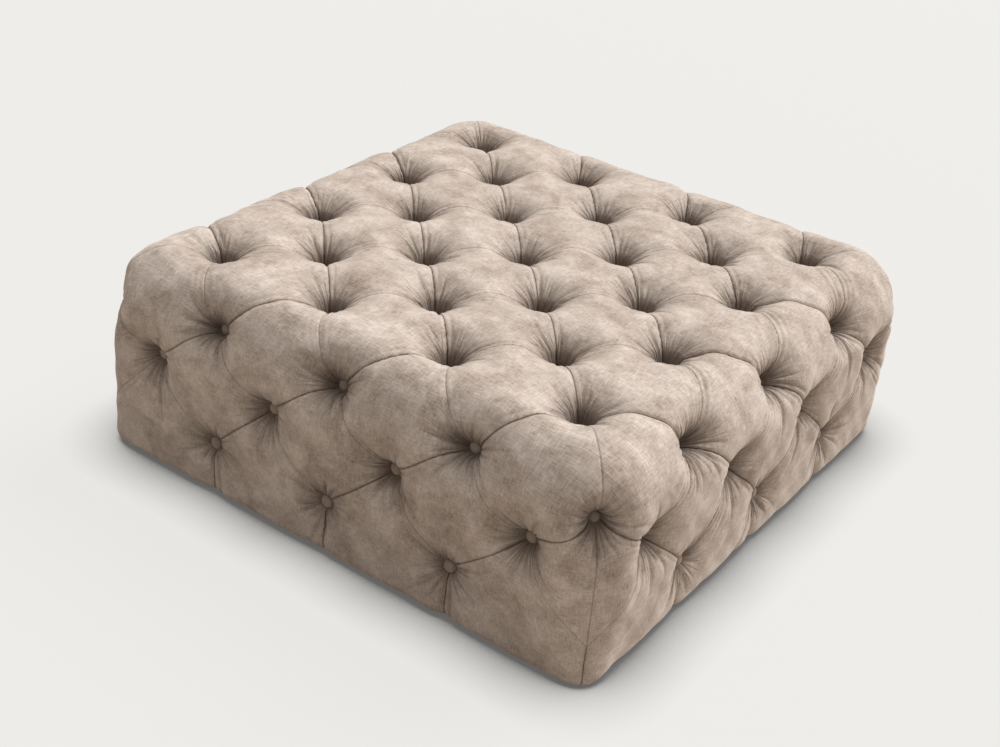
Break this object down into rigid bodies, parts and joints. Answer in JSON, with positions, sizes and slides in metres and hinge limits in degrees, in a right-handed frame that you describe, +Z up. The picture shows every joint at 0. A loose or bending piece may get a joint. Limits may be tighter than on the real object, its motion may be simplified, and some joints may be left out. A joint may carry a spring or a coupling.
{
  "type": "ottoman coffee table",
  "caption": "Square low ottoman used as a coffee table, deep-buttoned in diamonds on the top and all four sides.",
  "frame": {"origin": "on the floor under the middle of the ottoman", "axes": "+Z up; -Y is the front, +X the right side; the plan is square"},
  "size_m": [1, 1, 0.36],
  "materials": {
    "cover_cloth": "taupe velvet-like pile with a mottled nap",
    "button_cloth": "the cover's cloth over button shells",
    "fibre": "white polyester batting",
    "foam": "open-cell upholstery foam",
    "twine": "waxed tufting twine",
    "dust_cloth": "black spun-bonded dust cloth",
    "frame_timber": "planed softwood",
    "board": "plywood",
    "toggle_plastic": "nylon",
    "foot_plastic": "black nylon glide",
    "zinc": "zinc-plated steel"
  },
  "bodies": {
    "root": {"back_buttons": "button_cloth", "base_cross_rail": "frame_timber", "base_rail_back": "frame_timber", "base_rail_front": "frame_timber", "base_rail_left": "frame_timber", "base_rail_right": "frame_timber", "batting": "fibre", "button_backs": "zinc", "corner_block_back_left": "frame_timber", "corner_block_back_right": "frame_timber", "corner_block_front_left": "frame_timber", "corner_block_front_right": "frame_timber", "corner_buttons": "button_cloth", "corner_post_back_left": "frame_timber", "corner_post_back_right": "frame_timber", "corner_post_front_left": "frame_timber", "corner_post_front_right": "frame_timber", "deck_board": "board", "deck_cross_rail_left": "frame_timber", "deck_cross_rail_right": "frame_timber", "deck_screws": "zinc", "dust_cover": "dust_cloth", "foot_back_left": "foot_plastic", "foot_back_right": "foot_plastic", "foot_front_left": "foot_plastic", "foot_front_right": "foot_plastic", "foot_screws": "zinc", "frame_screws": "zinc", "front_buttons": "button_cloth", "left_buttons": "button_cloth", "right_buttons": "button_cloth", "side_board_back": "board", "side_board_front": "board", "side_board_left": "board", "side_board_right": "board", "side_board_screws": "zinc", "side_foam_back": "foam", "side_foam_front": "foam", "side_foam_left": "foam", "side_foam_right": "foam", "top_buttons": "button_cloth", "top_foam": "foam", "top_rail_back": "frame_timber", "top_rail_front": "frame_timber", "top_rail_left": "frame_timber", "top_rail_right": "frame_timber", "tufted_cover": "cover_cloth", "tufting_twines": "twine", "twine_toggles": "toggle_plastic", "underside_staples": "zinc"}
  },
  "joints": []
}
